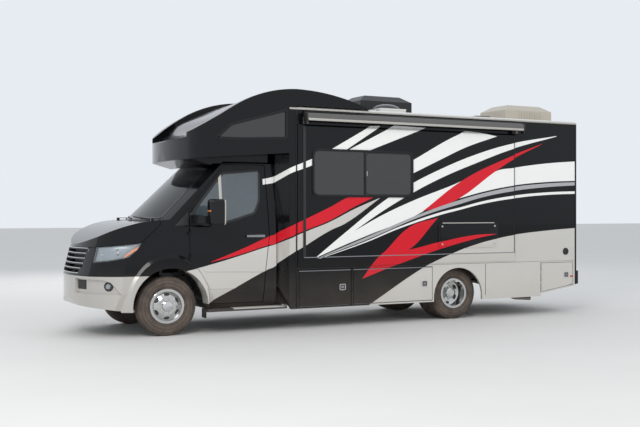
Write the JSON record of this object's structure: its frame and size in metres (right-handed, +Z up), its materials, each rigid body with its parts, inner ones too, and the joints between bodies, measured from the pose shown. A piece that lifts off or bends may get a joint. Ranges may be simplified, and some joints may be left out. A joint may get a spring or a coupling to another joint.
{
  "type": "motorhome",
  "caption": "Coach-built motorhome on a van cab and chassis, with an overcab bunk, a slide-out room on the left side, opening doors, lockers, roof vent and steering.",
  "frame": {"origin": "middle of the length and width, on the ground under the tyres", "axes": "X along the vehicle with the front at -X, the driver's left side at -Y, Z up"},
  "size_m": [7.69, 2.74, 3.3559],
  "materials": {
    "body_paint": "gloss black, the ground of the red, white and grey stripes",
    "silver_paint": "metallic silver, satin",
    "white_shell": "white, satin",
    "black_plastic": "fine grain",
    "glass": "dark tint",
    "lamp_lens": "clear",
    "red_lens": "gloss",
    "tyre": "dusty rubber",
    "polished_wheel": "polished cover",
    "frame_steel": "satin black chassis paint",
    "engine_iron": "raw",
    "exhaust_steel": "dull",
    "zinc_sheet": "galvanised",
    "floor_board": "plywood",
    "seat_cloth": "woven",
    "aluminium": "satin"
  },
  "bodies": {
    "body": {"ladder_frame": "frame_steel", "engine_block": "engine_iron", "rear_axle": "frame_steel", "exhaust": "exhaust_steel", "waste_tank": "black_plastic", "cab_body": "body_paint", "front_bumper": "silver_paint", "headlamps": "lamp_lens", "grille": "black_plastic", "windscreen": "glass", "dashboard": "black_plastic", "cab_seats": "seat_cloth", "running_boards": "silver_paint", "coach_floor": "floor_board", "left_wall": "body_paint", "right_wall": "body_paint", "rear_wall": "body_paint", "roof": "white_shell", "front_cap": "body_paint", "skirts": "body_paint", "lockers": "zinc_sheet", "coach_windows": "glass", "tail_lamps": "red_lens", "rear_bumper": "body_paint", "front_air_conditioner": "black_plastic", "rear_air_conditioner": "white_shell", "patio_awning": "black_plastic"},
    "steer_left": {"knuckle_left": "frame_steel"},
    "steer_right": {"knuckle_right": "frame_steel"},
    "wheel_front_left": {"wheel_front_left": "polished_wheel", "tyre_front_left": "tyre"},
    "wheel_front_right": {"wheel_front_right": "polished_wheel", "tyre_front_right": "tyre"},
    "wheel_rear_left": {"wheel_rear_left": "polished_wheel", "tyre_rear_left": "tyre"},
    "wheel_rear_right": {"wheel_rear_right": "polished_wheel", "tyre_rear_right": "tyre"},
    "door_left": {"door_left": "body_paint", "door_glass_left": "glass", "mirror_left": "black_plastic"},
    "door_right": {"door_right": "body_paint", "door_glass_right": "glass", "mirror_right": "black_plastic"},
    "bonnet": {"bonnet": "body_paint"},
    "slide_room": {"slide_room": "body_paint", "slide_window": "glass", "slide_topper": "aluminium"},
    "entry_door": {"entry_door": "body_paint", "entry_door_window": "glass"},
    "entry_step": {"entry_step": "aluminium"},
    "baggage_door_front": {"baggage_door_front": "body_paint"},
    "baggage_door_middle": {"baggage_door_middle": "body_paint"},
    "baggage_door_rear": {"baggage_door_rear": "body_paint"},
    "baggage_door_right": {"baggage_door_right": "body_paint"},
    "vent_lid": {"vent_lid": "white_shell"}
  },
  "joints": [
    {"name": "steering_left", "type": "hinge", "parent": "body", "child": "steer_left", "pos_m": [-2.795, -0.7, 0.384], "axis": [0, 0, 1], "range_deg": [-35, 35]},
    {"name": "steering_right", "type": "hinge", "parent": "body", "child": "steer_right", "pos_m": [-2.795, 0.7, 0.384], "axis": [0, 0, 1], "range_deg": [-35, 35]},
    {"name": "front_wheel_left_spin", "type": "hinge", "parent": "steer_left", "child": "wheel_front_left", "pos_m": [-2.795, -0.85, 0.384], "axis": [0, 1, 0], "continuous": true},
    {"name": "front_wheel_right_spin", "type": "hinge", "parent": "steer_right", "child": "wheel_front_right", "pos_m": [-2.795, 0.85, 0.384], "axis": [0, 1, 0], "continuous": true},
    {"name": "rear_wheel_left_spin", "type": "hinge", "parent": "body", "child": "wheel_rear_left", "pos_m": [1.523, -0.7925, 0.384], "axis": [0, 1, 0], "continuous": true},
    {"name": "rear_wheel_right_spin", "type": "hinge", "parent": "body", "child": "wheel_rear_right", "pos_m": [1.523, 0.7925, 0.384], "axis": [0, 1, 0], "continuous": true},
    {"name": "door_left_hinge", "type": "hinge", "parent": "body", "child": "door_left", "pos_m": [-2.515, -1.018, 1.14], "axis": [0, 0, -1], "range_deg": [0, 70]},
    {"name": "door_right_hinge", "type": "hinge", "parent": "body", "child": "door_right", "pos_m": [-2.515, 1.018, 1.14], "axis": [0, 0, 1], "range_deg": [0, 70]},
    {"name": "bonnet_hinge", "type": "hinge", "parent": "body", "child": "bonnet", "pos_m": [-2.841, 0, 1.514], "axis": [0, 1, 0], "range_deg": [0, 50]},
    {"name": "slide_room_slide", "type": "slide", "parent": "body", "child": "slide_room", "axis": [0, -1, 0], "range_m": [0, 0.6]},
    {"name": "entry_door_hinge", "type": "hinge", "parent": "body", "child": "entry_door", "pos_m": [0.168, 1.178, 1.8], "axis": [0, 0, 1], "range_deg": [0, 90]},
    {"name": "entry_step_slide", "type": "slide", "parent": "body", "child": "entry_step", "axis": [0, 1, 0], "range_m": [0, 0.28]},
    {"name": "baggage_door_front_hinge", "type": "hinge", "parent": "body", "child": "baggage_door_front", "pos_m": [-1.047, -1.178, 0.56], "axis": [0, 0, -1], "range_deg": [0, 90]},
    {"name": "baggage_door_middle_hinge", "type": "hinge", "parent": "body", "child": "baggage_door_middle", "pos_m": [-0.225, -1.178, 0.56], "axis": [0, 0, -1], "range_deg": [0, 90]},
    {"name": "baggage_door_rear_hinge", "type": "hinge", "parent": "body", "child": "baggage_door_rear", "pos_m": [3.05, -1.178, 0.56], "axis": [0, 0, -1], "range_deg": [0, 90]},
    {"name": "baggage_door_right_hinge", "type": "hinge", "parent": "body", "child": "baggage_door_right", "pos_m": [-1.047, 1.178, 0.56], "axis": [0, 0, 1], "range_deg": [0, 90]},
    {"name": "vent_lid_hinge", "type": "hinge", "parent": "body", "child": "vent_lid", "pos_m": [0.321, -0.722, 3.0883], "axis": [0, -1, 0], "range_deg": [0, 60]}
  ],
  "couplings": [
    {"joint": "steering_right", "follows": "steering_left", "ratio": 1}
  ]
}
